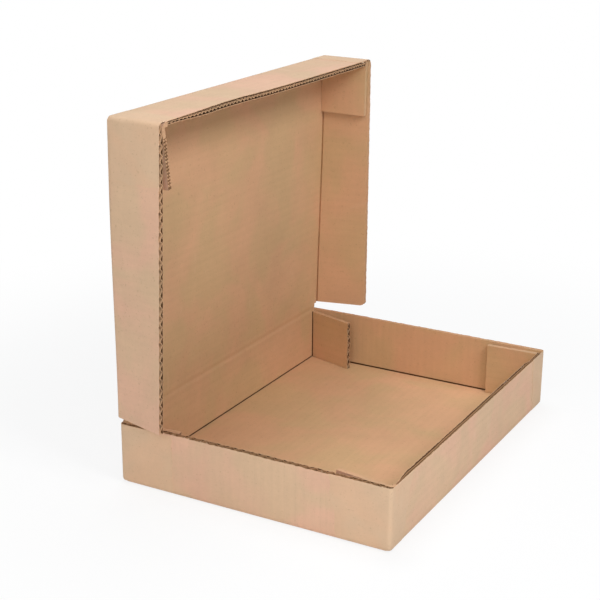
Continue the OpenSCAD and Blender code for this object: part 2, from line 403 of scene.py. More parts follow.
class Graph:
    """Short hand for filling a node tree."""

    def __init__(self, tree):
        self.tree = tree

    def node(self, kind, inputs=(), **settings):
        n = self.tree.nodes.new(kind)
        for key, value in settings.items():
            setattr(n, key, value)
        for key, value in dict(inputs).items():
            self.put(n.inputs[key], value)
        return n

    def put(self, socket, value):
        if isinstance(value, bpy.types.NodeSocket):
            self.tree.links.new(value, socket)
        else:
            socket.default_value = value

    def math(self, op, a, b=0.0, clamp=False):
        n = self.node("ShaderNodeMath", {0: a, 1: b}, operation=op, use_clamp=clamp)
        return n.outputs[0]

    def mix(self, factor, a, b, blend="MIX"):
        n = self.node("ShaderNodeMix", data_type="RGBA", blend_type=blend)
        for socket, value in zip((n.inputs[0], n.inputs[6], n.inputs[7]), (factor, a, b)):
            self.put(socket, value)
        return n.outputs[2]

    def span(self, value, a, b, c=0.0, d=1.0):
        n = self.node(
            "ShaderNodeMapRange", {0: value, 1: a, 2: b, 3: c, 4: d}, interpolation_type="SMOOTHSTEP",
        )
        return n.outputs[0]


def new_group(name, inputs, outputs):
    """An empty shader node group with its sockets, and the graph to fill it."""
    tree = bpy.data.node_groups.new(name, "ShaderNodeTree")
    for key, kind, default in inputs:
        s = tree.interface.new_socket(name=key, in_out="INPUT", socket_type=kind)
        s.default_value = default
    for key, kind in outputs:
        tree.interface.new_socket(name=key, in_out="OUTPUT", socket_type=kind)
    g = Graph(tree)
    return g, g.node("NodeGroupInput"), g.node("NodeGroupOutput")


def fibres_group():
    """Short paper fibres, specks and soft cloudiness, as values round one half."""
    g, i, o = new_group(
        "frame_box_fibres",
        [("Vector", "NodeSocketVector", (0, 0, 0)), ("Scale", "NodeSocketFloat", 1.0)],
        [("Fibre", "NodeSocketFloat"), ("Cloud", "NodeSocketFloat"), ("Speck", "NodeSocketFloat")],
    )
    v = g.node("ShaderNodeVectorMath", {0: i.outputs["Vector"]}, operation="SCALE")
    g.put(v.inputs[3], i.outputs["Scale"])
    strands = []
    for turn, stretch in ((0.5, (140, 900, 420)), (-0.8, (900, 160, 700)), (1.9, (420, 900, 130))):
        m = g.node(
            "ShaderNodeMapping",
            {"Vector": v.outputs[0], "Rotation": (turn, turn * 0.7, turn), "Scale": stretch},
        )
        n = g.node(
            "ShaderNodeTexNoise", {"Vector": m.outputs[0], "Scale": 1.0, "Detail": 3.0, "Roughness": 0.6},
        )
        strands.append(n.outputs["Fac"])
    fibre = g.math("MULTIPLY", g.math("ADD", g.math("ADD", strands[0], strands[1]), strands[2]), 0.3333)
    cloud = g.node(
        "ShaderNodeTexNoise", {"Vector": v.outputs[0], "Scale": 46.0, "Detail": 4.0, "Roughness": 0.55},
    )
    speck = g.node(
        "ShaderNodeTexNoise", {"Vector": v.outputs[0], "Scale": 520.0, "Detail": 1.0, "Roughness": 0.4},
    )
    g.put(o.inputs["Fibre"], fibre)
    g.put(o.inputs["Cloud"], cloud.outputs["Fac"])
    g.put(o.inputs["Speck"], g.span(speck.outputs["Fac"], 0.66, 0.74))
    return g.tree


def washboard_group():
    """The flutes that show faintly through a liner, 0 to 1 across each flute."""
    g, i, o = new_group(
        "frame_box_washboard",
        [
            ("Vector", "NodeSocketVector", (0, 0, 0)), ("Across", "NodeSocketVector", (1, 0, 0)),
            ("Pitch", "NodeSocketFloat", 0.0078),
        ],
        [("Ridge", "NodeSocketFloat"), ("Streak", "NodeSocketFloat")],
    )
    along = g.node(
        "ShaderNodeVectorMath", {0: i.outputs["Vector"], 1: i.outputs["Across"]}, operation="DOT_PRODUCT",
    )
    drift = g.node("ShaderNodeTexNoise", {"Vector": i.outputs["Vector"], "Scale": 9.0, "Detail": 1.0})
    shifted = g.math("ADD", along.outputs["Value"], g.math("MULTIPLY", drift.outputs["Fac"], 0.003))
    turn = g.math("MULTIPLY", g.math("DIVIDE", shifted, i.outputs["Pitch"]), 2 * math.pi)
    wave = g.math("ADD", g.math("MULTIPLY", g.math("SINE", turn), 0.5), 0.5)
    line = g.node("ShaderNodeCombineXYZ", {0: g.math("MULTIPLY", along.outputs["Value"], 260.0)})
    lines = g.node(
        "ShaderNodeTexNoise", {"Vector": line.outputs[0], "Scale": 1.0, "Detail": 2.0, "Roughness": 0.7},
    )
    patch = g.node("ShaderNodeTexNoise", {"Vector": i.outputs["Vector"], "Scale": 14.0, "Detail": 2.0})
    gate = g.span(patch.outputs["Fac"], 0.4, 0.65)
    g.put(o.inputs["Ridge"], wave)
    g.put(o.inputs["Streak"], g.math("MULTIPLY", g.span(lines.outputs["Fac"], 0.45, 0.75), gate))
    return g.tree


def handling_group():
    """Uneven tone from storing and handling: broad patches, pink and yellow casts and faint rubs."""
    g, i, o = new_group(
        "frame_box_handling",
        [("Vector", "NodeSocketVector", (0, 0, 0))],
        [("Patch", "NodeSocketFloat"), ("Cast", "NodeSocketFloat"), ("Rub", "NodeSocketFloat")],
    )
    patch = g.node(
        "ShaderNodeTexNoise",
        {"Vector": i.outputs["Vector"], "Scale": 7.0, "Detail": 3.0, "Roughness": 0.5},
    )
    cast = g.node(
        "ShaderNodeTexNoise",
        {"Vector": i.outputs["Vector"], "Scale": 17.0, "Detail": 2.0, "Distortion": 0.6},
    )
    m = g.node(
        "ShaderNodeMapping",
        {"Vector": i.outputs["Vector"], "Rotation": (0.3, 0.2, 0.6), "Scale": (12, 90, 30)},
    )
    rub = g.node(
        "ShaderNodeTexNoise", {"Vector": m.outputs[0], "Scale": 1.0, "Detail": 4.0, "Distortion": 1.2},
    )
    g.put(o.inputs["Patch"], patch.outputs["Fac"])
    g.put(o.inputs["Cast"], g.span(cast.outputs["Fac"], 0.35, 0.65))
    g.put(o.inputs["Rub"], g.span(rub.outputs["Fac"], 0.62, 0.8))
    return g.tree


def board_material(name, warm, cool, light, across=None, rough=0.86, bump=0.35, pitch=0.0078):
    """Paper: two casts of a base colour, fibres, faint flutes and rubs.
    across is the direction from flute to flute, or None."""
    mat = bpy.data.materials.new(name)
    mat.use_nodes = True
    mat.diffuse_color = warm
    g = Graph(mat.node_tree)
    mat.node_tree.nodes.clear()
    where = g.node("ShaderNodeTexCoord").outputs["Object"]
    add = lambda key: g.node("ShaderNodeGroup", node_tree=bpy.data.node_groups[key])
    fib, hand = add("frame_box_fibres"), add("frame_box_handling")
    for n in (fib, hand):
        g.put(n.inputs["Vector"], where)
    base = g.mix(hand.outputs["Cast"], warm, cool)
    tone = g.math("ADD", 0.86, g.math("MULTIPLY", hand.outputs["Patch"], 0.28))
    tone = g.math("MULTIPLY", tone, g.math("ADD", 0.9, g.math("MULTIPLY", fib.outputs["Fibre"], 0.2)))
    tone = g.math("MULTIPLY", tone, g.math("ADD", 0.93, g.math("MULTIPLY", fib.outputs["Cloud"], 0.14)))
    height = g.math("MULTIPLY", fib.outputs["Fibre"], 0.6)
    if across:
        wash = add("frame_box_washboard")
        g.put(wash.inputs["Vector"], where)
        g.put(wash.inputs["Across"], across)
        g.put(wash.inputs["Pitch"], pitch)
        tone = g.math(
            "MULTIPLY", tone, g.math("SUBTRACT", 1.0, g.math("MULTIPLY", wash.outputs["Streak"], 0.045)),
        )
        tone = g.math(
            "MULTIPLY", tone, g.math("ADD", 0.992, g.math("MULTIPLY", wash.outputs["Ridge"], 0.016)),
        )
        height = g.math("ADD", height, g.math("MULTIPLY", wash.outputs["Ridge"], 0.35))
    grey = g.node("ShaderNodeCombineColor", {0: tone, 1: tone, 2: tone}).outputs[0]
    base = g.mix(1.0, base, grey, "MULTIPLY")
    base = g.mix(g.math("MULTIPLY", hand.outputs["Rub"], 0.16), base, light)
    base = g.mix(
        g.math("MULTIPLY", fib.outputs["Speck"], 0.25), base,
        g.mix(1.0, base, (0.55, 0.5, 0.45, 1), "MULTIPLY"),
    )
    relief = g.node("ShaderNodeBump", {"Height": height, "Strength": bump, "Distance": 0.00025})
    shader = g.node("ShaderNodeBsdfPrincipled", {
        "Base Color": base, "Roughness": rough, "Normal": relief.outputs[0], "Specular IOR Level": 0.18,
    })
    out = g.node("ShaderNodeOutputMaterial")
    g.tree.links.new(shader.outputs[0], out.inputs["Surface"])
    return mat


def make_materials():
    """All the finishes, by name."""
    fibres_group()
    washboard_group()
    handling_group()
    out = dict(warm=colour(225, 183, 156), cool=colour(217, 185, 153), light=colour(238, 209, 188))
    inside = dict(warm=colour(213, 169, 132), cool=colour(205, 170, 129), light=colour(224, 190, 156))
    flute_x, flute_z = (1.0, 0.0, 0.0), (0.0, 0.0, 1.0)
    board_material("outer_x", across=flute_x, **out)
    board_material("outer_z", across=flute_z, **out)
    board_material("inner_x", across=flute_x, **inside)
    board_material("inner_z", across=flute_z, **inside)
    board_material(
        "cut_edge", colour(210, 166, 130), colour(202, 164, 128), colour(232, 200, 170), rough=0.95,
        bump=0.6,
    )
    board_material(
        "flute_paper", colour(204, 162, 126), colour(196, 160, 124), colour(224, 190, 158), rough=0.95,
        bump=0.6,
    )
    # A darker copy of the flute paper: painted shade for the flutes in the tray's near edge and the ridge in
    # the front wall's edge.
    board_material(
        "flute_shade", colour(166, 124, 90), colour(158, 122, 88), colour(196, 156, 122), rough=0.95,
        bump=0.6,
    )
    # A dark colour painted where shade falls: inside the slots of cut edges, in creases and between the near
    # tab's teeth.
    board_material("slot_dark", colour(124, 90, 62), colour(116, 88, 62), colour(146, 112, 84), rough=0.95)
    board_material(
        "tape_paper", colour(221, 184, 152), colour(216, 185, 154), colour(234, 208, 184), rough=0.72,
        bump=0.2,
    )
    board_material(
        "torn_paper", colour(236, 206, 176), colour(228, 200, 170), colour(246, 226, 204), rough=0.95,
        bump=0.6,
    )


def kit(direction):
    """Material slots of a sheet: outer, inner, edge, and the painted shade of slots and creases."""
    get = bpy.data.materials.get
    return [get("outer_" + direction), get("inner_" + direction), get("cut_edge"), get("slot_dark")]


# Repeated forms

def geometry_group(name, inputs):
    """An empty geometry node group with its sockets, and the graph to fill it."""
    tree = bpy.data.node_groups.new(name, "GeometryNodeTree")
    for key, kind, default in inputs:
        s = tree.interface.new_socket(name=key, in_out="INPUT", socket_type=kind)
        if default is not None:
            s.default_value = default
    tree.interface.new_socket(name="Geometry", in_out="OUTPUT", socket_type="NodeSocketGeometry")
    g = Graph(tree)
    return g, g.node("NodeGroupInput"), g.node("NodeGroupOutput")


def flutes_tree():
    """A strip of fluted paper along X, swinging along Y, standing along Z, in millimetres."""
    g, i, o = geometry_group("frame_box_flutes", [
        ("Length", "NodeSocketFloat", 100.0), ("Pitch", "NodeSocketFloat", 7.8), (
            "Swing", "NodeSocketFloat", 1.4,
        ),
        ("Depth", "NodeSocketFloat", 8.0), ("Thickness", "NodeSocketFloat", 0.4), (
            "Phase", "NodeSocketFloat", 0.0,
        ),
        ("Crush", "NodeSocketFloat", 0.2), ("Steps", "NodeSocketFloat", 12.0), (
            "Material", "NodeSocketMaterial", None,
        ),
    ])
    get = i.outputs
    steps = g.math("ROUND", g.math("MULTIPLY", g.math("DIVIDE", get["Length"], get["Pitch"]), get["Steps"]))
    gap = g.node("ShaderNodeCombineXYZ", {0: g.math("DIVIDE", get["Length"], steps)})
    line = g.node("GeometryNodeMeshLine", {"Count": g.math("ADD", steps, 1.0), "Offset": gap.outputs[0]})
    place = g.node("ShaderNodeSeparateXYZ", {0: g.node("GeometryNodeInputPosition").outputs[0]})
    x = place.outputs[0]
    noise = g.node("ShaderNodeTexNoise", {"Scale": 0.045, "Detail": 2.0, "W": x}, noise_dimensions="1D")
    bumpy = g.node(
        "ShaderNodeTexNoise", {"Scale": 0.21, "Detail": 1.0, "W": g.math("ADD", x, 77.0)},
        noise_dimensions="1D",
    )
    drift = g.math("MULTIPLY", g.math("SUBTRACT", noise.outputs["Fac"], 0.5), 3.2)
    turn = g.math(
        "ADD", g.math("MULTIPLY", g.math("DIVIDE", x, get["Pitch"]), 2 * math.pi),
        g.math("ADD", drift, get["Phase"]),
    )
    crush = g.math(
        "SUBTRACT", 1.0, g.math("MULTIPLY", get["Crush"], g.span(bumpy.outputs["Fac"], 0.4, 0.75)),
    )
    y = g.math("MULTIPLY", g.math("MULTIPLY", g.math("SINE", turn), get["Swing"]), crush)
    moved = g.node("ShaderNodeCombineXYZ", {0: x, 1: y})
    wave = g.node("GeometryNodeSetPosition", {"Geometry": line.outputs[0], "Position": moved.outputs[0]})
    curve = g.node("GeometryNodeMeshToCurve", {0: wave.outputs[0]})
    upright = g.node("GeometryNodeSetCurveNormal", {0: curve.outputs[0]}, mode="Z_UP")
    profile = g.node(
        "GeometryNodeCurvePrimitiveQuadrilateral", {"Width": get["Thickness"], "Height": get["Depth"]},
    )
    ribbon = g.node(
        "GeometryNodeCurveToMesh",
        {"Curve": upright.outputs[0], "Profile Curve": profile.outputs[0], "Fill Caps": True},
    )
    real = g.node("GeometryNodeRealizeInstances", {0: ribbon.outputs[0]})
    paint = g.node("GeometryNodeSetMaterial", {"Geometry": real.outputs[0], "Material": get["Material"]})
    g.put(o.inputs[0], paint.outputs[0])
    return g.tree


def torn_tree():
    """Small flakes of torn liner scattered along X, in millimetres."""
    g, i, o = geometry_group("frame_box_torn", [
        ("Length", "NodeSocketFloat", 100.0), ("Count", "NodeSocketInt", 20), (
            "Size", "NodeSocketFloat", 1.0,
        ),
        ("Room", "NodeSocketFloat", 3.0), ("Seed", "NodeSocketInt", 1), (
            "Material", "NodeSocketMaterial", None,
        ),
    ])
    get = i.outputs
    line = g.node("GeometryNodeMeshLine", {"Count": get["Count"]})
    top = g.node("ShaderNodeCombineXYZ", {0: get["Length"], 1: get["Room"], 2: 0.25})
    spot = g.node(
        "FunctionNodeRandomValue", {"Max": top.outputs[0], "Seed": get["Seed"]}, data_type="FLOAT_VECTOR",
    )
    points = g.node("GeometryNodeSetPosition", {"Geometry": line.outputs[0], "Position": spot.outputs[0]})
    flake = g.node(
        "GeometryNodeMeshCone", {"Vertices": 5, "Radius Top": 0.12, "Radius Bottom": 0.5, "Depth": 1.0},
    )
    flat = g.node("GeometryNodeTransform", {"Geometry": flake.outputs[0], "Scale": (1.0, 0.22, 1.0)})
    spin = g.node(
        "FunctionNodeRandomValue",
        {"Min": (-0.7, -0.9, -0.6), "Max": (0.7, 0.9, 0.6), "Seed": g.math("ADD", get["Seed"], 5.0)},
        data_type="FLOAT_VECTOR",
    )
    size = g.node(
        "FunctionNodeRandomValue", {2: 0.35, 3: 1.0, "Seed": g.math("ADD", get["Seed"], 9.0)},
        data_type="FLOAT",
    )
    size = g.math("MULTIPLY", size.outputs[1], get["Size"])
    put = g.node(
        "GeometryNodeInstanceOnPoints",
        {
            "Points": points.outputs[0], "Instance": flat.outputs[0], "Rotation": spin.outputs[0],
            "Scale": size,
        },
    )
    real = g.node("GeometryNodeRealizeInstances", {0: put.outputs[0]})
    paint = g.node("GeometryNodeSetMaterial", {"Geometry": real.outputs[0], "Material": get["Material"]})
    g.put(o.inputs[0], paint.outputs[0])
    return g.tree


def teeth_tree():
    """The small teeth of a serrated cut along X, in millimetres. They stand towards -Z."""
    g, i, o = geometry_group("frame_box_teeth", [
        ("Length", "NodeSocketFloat", 50.0), ("Pitch", "NodeSocketFloat", 1.9), (
            "Height", "NodeSocketFloat", 1.2,
        ),
        ("Thickness", "NodeSocketFloat", 0.7), ("Seed", "NodeSocketInt", 1), (
            "Material", "NodeSocketMaterial", None,
        ),
    ])
    get = i.outputs
    half = g.math("MULTIPLY", get["Pitch"], 0.5)
    line = g.node("GeometryNodeMeshLine", {
        "Count": g.math("FLOOR", g.math("DIVIDE", get["Length"], get["Pitch"])),
        "Start Location": g.node("ShaderNodeCombineXYZ", {0: half}).outputs[0],
        "Offset": g.node("ShaderNodeCombineXYZ", {0: get["Pitch"]}).outputs[0],
    })
    tooth = g.node(
        "GeometryNodeMeshCone", {"Vertices": 4, "Radius Top": 0.22, "Radius Bottom": 0.66, "Depth": 1.0},
    )
    square = g.node(
        "GeometryNodeTransform", {"Geometry": tooth.outputs[0], "Rotation": (0, 0, math.pi / 4)},
    )
    form = g.node("ShaderNodeCombineXYZ", {
        0: g.math("MULTIPLY", get["Pitch"], 0.78), 1: get["Thickness"], 2: g.math(
            "MULTIPLY", get["Height"], -1.0,
        ),
    })
    shaped = g.node("GeometryNodeTransform", {"Geometry": square.outputs[0], "Scale": form.outputs[0]})
    size = g.node("FunctionNodeRandomValue", {2: 0.65, 3: 1.0, "Seed": get["Seed"]}, data_type="FLOAT")
    put = g.node("GeometryNodeInstanceOnPoints", {
        "Points": line.outputs[0], "Instance": shaped.outputs[0], "Scale": size.outputs[1],
    })
    real = g.node("GeometryNodeRealizeInstances", {0: put.outputs[0]})
    paint = g.node("GeometryNodeSetMaterial", {"Geometry": real.outputs[0], "Material": get["Material"]})
    g.put(o.inputs[0], paint.outputs[0])
    return g.tree


def bake(context, tree, values):
    """The mesh that a tree makes with these values."""
    host = bpy.data.objects.new("host", bpy.data.meshes.new("host"))
    context.scene.collection.objects.link(host)
    modifier = host.modifiers.new("form", "NODES")
    modifier.node_group = tree
    for item in tree.interface.items_tree:
        if item.item_type == "SOCKET" and item.in_out == "INPUT" and item.name in values:
            modifier[item.identifier] = values[item.name]
    host.update_tag()
    graph = context.evaluated_depsgraph_get()
    mesh = bpy.data.meshes.new_from_object(host.evaluated_get(graph), depsgraph=graph)
    host.modifiers.remove(modifier)
    bpy.data.objects.remove(host)
    return mesh


def strip_on_edge(context, tree, name, edge, body, values, across, drop=0.0, thickness=4.2, part=None):
    """Bakes a tree and lays it along an edge, or along a part of it.
    across is where the strip's own middle lies in the board's thickness."""
    u0, u1 = part or (edge.u[0], edge.u[-1])
    mesh = bake(context, tree, dict(values, Length=abs(u1 - u0)))
    mesh.name = name
    co = np.zeros(len(mesh.vertices) * 3)
    mesh.vertices.foreach_get("co", co)
    co = co.reshape(-1, 3)
    flat = np.stack([co[:, 0] + min(u0, u1), co[:, 1] + across, co[:, 2] + drop], 1)
    mesh.vertices.foreach_set("co", (edge.place(flat, thickness) * MM).ravel())
    finish_mesh(mesh)
    return add_piece(context, mesh, body)


# Tray

def tray_sections(b, t):
    """Near wall, floor and far wall as pairs of (y, z), with the share of floor in each pair."""
    half, flat = t.long / 2, t.long / 2 - b.bend
    outer, inner, share = [], [], []
    heights = (t.height, t.height - 4, t.height - 9, 36, 24, 13, 7)
    for z in heights:
        outer.append((-half, z))
        inner.append((b.thickness - half, z))
        share.append(0.0)
    o, i = bent((-flat, b.bend), 180, 270, (b.bend, b.crease), valley=b.valley)
    outer += o
    inner += i
    share += list(np.linspace(0, 1, len(o)))
    for y in np.linspace(-flat, flat, 15)[1:-1]:
        outer.append((y, 0))
        inner.append((y, b.thickness))
        share.append(1.0)
    mirror = lambda rows: [(-y, z) for y, z in rows]
    first = len(heights) + len(o)
    outer += mirror(outer[:first][::-1])
    inner += mirror(inner[:first][::-1])
    share += share[:first][::-1]
    return np.array(outer), np.array(inner), np.array(share)


def wall_bow(t, along, z):
    """How far the tray's near and far walls stand out, at a place along them and a height."""
    return WALL_BOW * np.sin(np.pi * np.clip(along, 0, t.width) / t.width) * ramp(z, 8, t.height)


def build_tray_channel(context):
    """Near wall, floor and far wall of the tray."""
    b, t, _, tape = sizes(context)
    outer, inner, share = tray_sections(b, t)
    half = t.width / 2
    body_u = spaced(-half + 4, half - 4, b.step)
    tip = half - 4 + 4 * np.array([0.25, 0.5, 0.7, 0.85, 0.95, 1.0])
    us = np.concatenate([-tip[::-1], body_u, tip])
    ragged = [
        wander(us, s, 2.1, b.rough) + wander(us, s + 9, 0.9, b.rough * 0.5) - SIDE_CLEAR
        for s in (1, 2, 3, 4)
    ]
    ragged[0] -= b.worn * (
        0.5 - 0.25 * ramp(np.abs(us), half - tape.tray_side - 4, half - tape.tray_side + 4)
    )
    up = np.array([0, 0, 1.0])
    # The inner faces round the two folds get painted shade.
    folds = [k for k in range(len(share) - 1) if 0 < share[k] + share[k + 1] < 2]
    near, far, rings, tags = Edge(b.slot), Edge(b.shallow), [], None
    for k, x in enumerate(us):
        xs = x * (1 - share * b.bend / half)
        round_in = tape.round - math.sqrt(
            max(0.0, tape.round ** 2 - max(0.0, abs(x) - half + tape.round) ** 2)
        )
        sag = 0.5 * ramp(abs(x), half - 26, half)
        rear_sag = 1.5 * ramp(-x, half - 62, half - 6)
        o = np.column_stack([xs, outer])
        i = np.column_stack([xs, inner])
        wall = (share == 0)
        o[:, 1] -= np.sign(o[:, 1]) * round_in * np.where(wall, 1, np.where(share < 1, 0.6, 0))
        bow = wall_bow(t, x + half, np.abs(o[:, 2])) * wall
        for rows in (o, i):
            rows[:, 1] += np.sign(rows[:, 1]) * bow
            rows[:, 2] -= (sag + rear_sag * (rows[:, 1] < 0)) * ramp(rows[:, 2], t.height - 20, t.height)
        start = (up, b.liner, near.slot, (ragged[0][k], ragged[1][k]))
        end = (up, b.liner, far.slot, (ragged[2][k] * 0.5, ragged[3][k] * 0.5 + 0.2))
        points, tags = ring_loop(o, i, start, end, folds, pressed=True)
        rings.append(points)
        near.add(x, o[0], i[0], up)
        far.add(x, o[-1], i[-1], up)
    EDGES["tray_near"], EDGES["tray_far"] = near, far
    mesh = sheet_mesh("tray_shell", rings, tags, kit("x"))
    return add_piece(context, mesh, "tray", ["tray_board"])


def build_tray_end(context, front):
    """The front wall, or the rear wall up to the hinge."""
    b, t, _, _ = sizes(context)
    side = 1 if front else -1
    reach = t.score - b.bend
    foot = t.width / 2 - b.bend
    face = t.width / 2
    top = t.height if front else t.height - HINGE_LAP
    us = spaced(-reach, reach, b.step)
    ragged = [
        wander(us, s, 2.3, b.rough) + wander(us, s + 5, 0.8, b.rough * 0.4) - END_CLEAR
        for s in (21, 22)
    ]
    arc_o, arc_i = bent((foot, b.bend), 270, 360, (b.bend, b.crease), valley=b.valley)
    heights = [9, 16, 24, 32, 40, top - 9, top - 4, top]
    edge, rings, tags = Edge(b.slot), [], None
    for k, y in enumerate(us):
        o = [(x, z) for x, z in arc_o] + [(face, z) for z in heights]
        i = [(x, z) for x, z in arc_i] + [(face - b.thickness, z) for z in heights]
        o, i = np.array(o, float), np.array(i, float)
        if front:
            pinch = 0.62 * ramp(-y, reach - 30, reach - 2) + 0.25 * ramp(y, reach - 40, reach - 26)
            pinch += 0.12 * wander(y, 31, 26, 1.0)
            i[:, 0] += b.thickness * max(0.0, pinch) * ramp(i[:, 1], top - 16, top)
        o3 = np.column_stack([o[:, 0] * side, np.full(len(o), y), o[:, 1]])
        i3 = np.column_stack([i[:, 0] * side, np.full(len(i), y), i[:, 1]])
        up = np.array([0, 0, 1.0])
        end = (up, b.liner, b.slot, (ragged[0][k] - b.worn * 0.5, ragged[1][k])) if front else None
        # The fold's inner faces get painted shade.
        points, tags = ring_loop(o3, i3, None, end, range(len(arc_i) - 1))
        rings.append(points)
        edge.add(y, o3[-1], i3[-1], up)
    name = "tray_front_wall" if front else "tray_rear_wall"
    EDGES[name] = edge
    return add_piece(context, sheet_mesh(name, rings, tags, kit("z")), "tray")


def build_tray_tab(context, front, far, swing):
    """A corner tab with the fold that joins it to the front or rear wall."""
    b, t, _, _ = sizes(context)
    sx, sy = (-1 if front else 1), (-1 if far else 1)
    s = math.degrees(swing)
    gap = t.long / 2 - t.score
    centre = (b.bend, gap + b.bend)
    arc_o, arc_i = bent(centre, 180, 270 + s, (b.bend, b.crease), 8, b.valley * 0.8)
    ahead = np.array([math.cos(swing), math.sin(swing)])
    run = t.tab - b.bend
    o = [np.array(p) for p in arc_o] + [arc_o[-1] + ahead * d for d in np.linspace(0, run, 6)[1:]]
    i = [np.array(p) for p in arc_i] + [arc_i[-1] + ahead * d for d in np.linspace(0, run, 6)[1:]]
    share = np.concatenate([np.linspace(0, 1, len(arc_o)), np.ones(5)])
    us = with_ends(spaced(0, 1, b.step / (t.tab_high - t.tab_low)))
    seed = 40 + 4 * front + 2 * far
    ragged = [wander(us * 50, seed + n, 1.9, b.rough) for n in (0, 1)]
    low, high = t.tab_low * share + 0.4 * (1 - share), t.tab_high * share + (t.height - 0.8) * (1 - share)
    edge, rings, tags = Edge(b.slot), [], None
    for k, u in enumerate(us):
        z = low + (high - low) * u
        curl = 0.5 * ramp(u, 0.7, 1.0) * share
        pair = []
        for rows, shrink in ((np.array(o), 1.0), (np.array(i), 0.0)):
            rows = rows.copy()
            foot = b.bend - np.sqrt(np.maximum(0, b.bend ** 2 - np.maximum(0, b.bend - z) ** 2))
            rows[:, 0] += shrink * np.minimum(foot, b.thickness - 0.3) * (1 - share) * (share < 0.5)
            rows[:, 1] += curl
            x = (rows[:, 0] - t.width / 2) * sx
            y = (rows[:, 1] - t.long / 2) * sy
            pair.append(np.column_stack([x, y, z]))
        out = np.array([ahead[0] * sx, ahead[1] * sy, 0.0])
        end = (out, b.liner, shut(b.slot, u), (ragged[0][k], ragged[1][k] - 0.4))
        # The fold's inner faces get painted shade.
        points, tags = ring_loop(pair[0], pair[1], None, end, range(len(arc_i) - 1))
        rings.append(points)
        edge.add(z[-1], pair[0][-1], pair[1][-1], out)
    name = f"tray_tab_{'far' if far else 'near'}_{'front' if front else 'rear'}"
    EDGES[name] = edge
    return add_piece(context, sheet_mesh(name, rings, tags, kit("z")), "tray")


# Lid

def lid_place(lid, b, rows):
    """From the lid's own frame to the open lid, in millimetres."""
    rows = np.asarray(rows, float)
    c, s = math.cos(lid.lean), math.sin(lid.lean)
    mid = b.thickness / 2
    x = mid - REAR_FACE + (rows[:, 0] - mid) * c + rows[:, 2] * s
    z = lid.axis - (rows[:, 0] - mid) * s + rows[:, 2] * c
    return np.column_stack([x, rows[:, 1], z])


def fold_half(lid, z):
    """Half length of the panel at a height."""
    u = np.clip(np.asarray(z, float) / (lid.widen * lid.top), 0, 1)
    return lid.half_hinge + (lid.half_front - lid.half_hinge) * u * u * (3 - 2 * u)


def free_half(lid, z, flare):
    """Half length at the free edges at a height."""
    start = lid.half_hinge + flare
    return start + (lid.half_front + lid.front_flare - start) * np.asarray(z, float) / lid.top


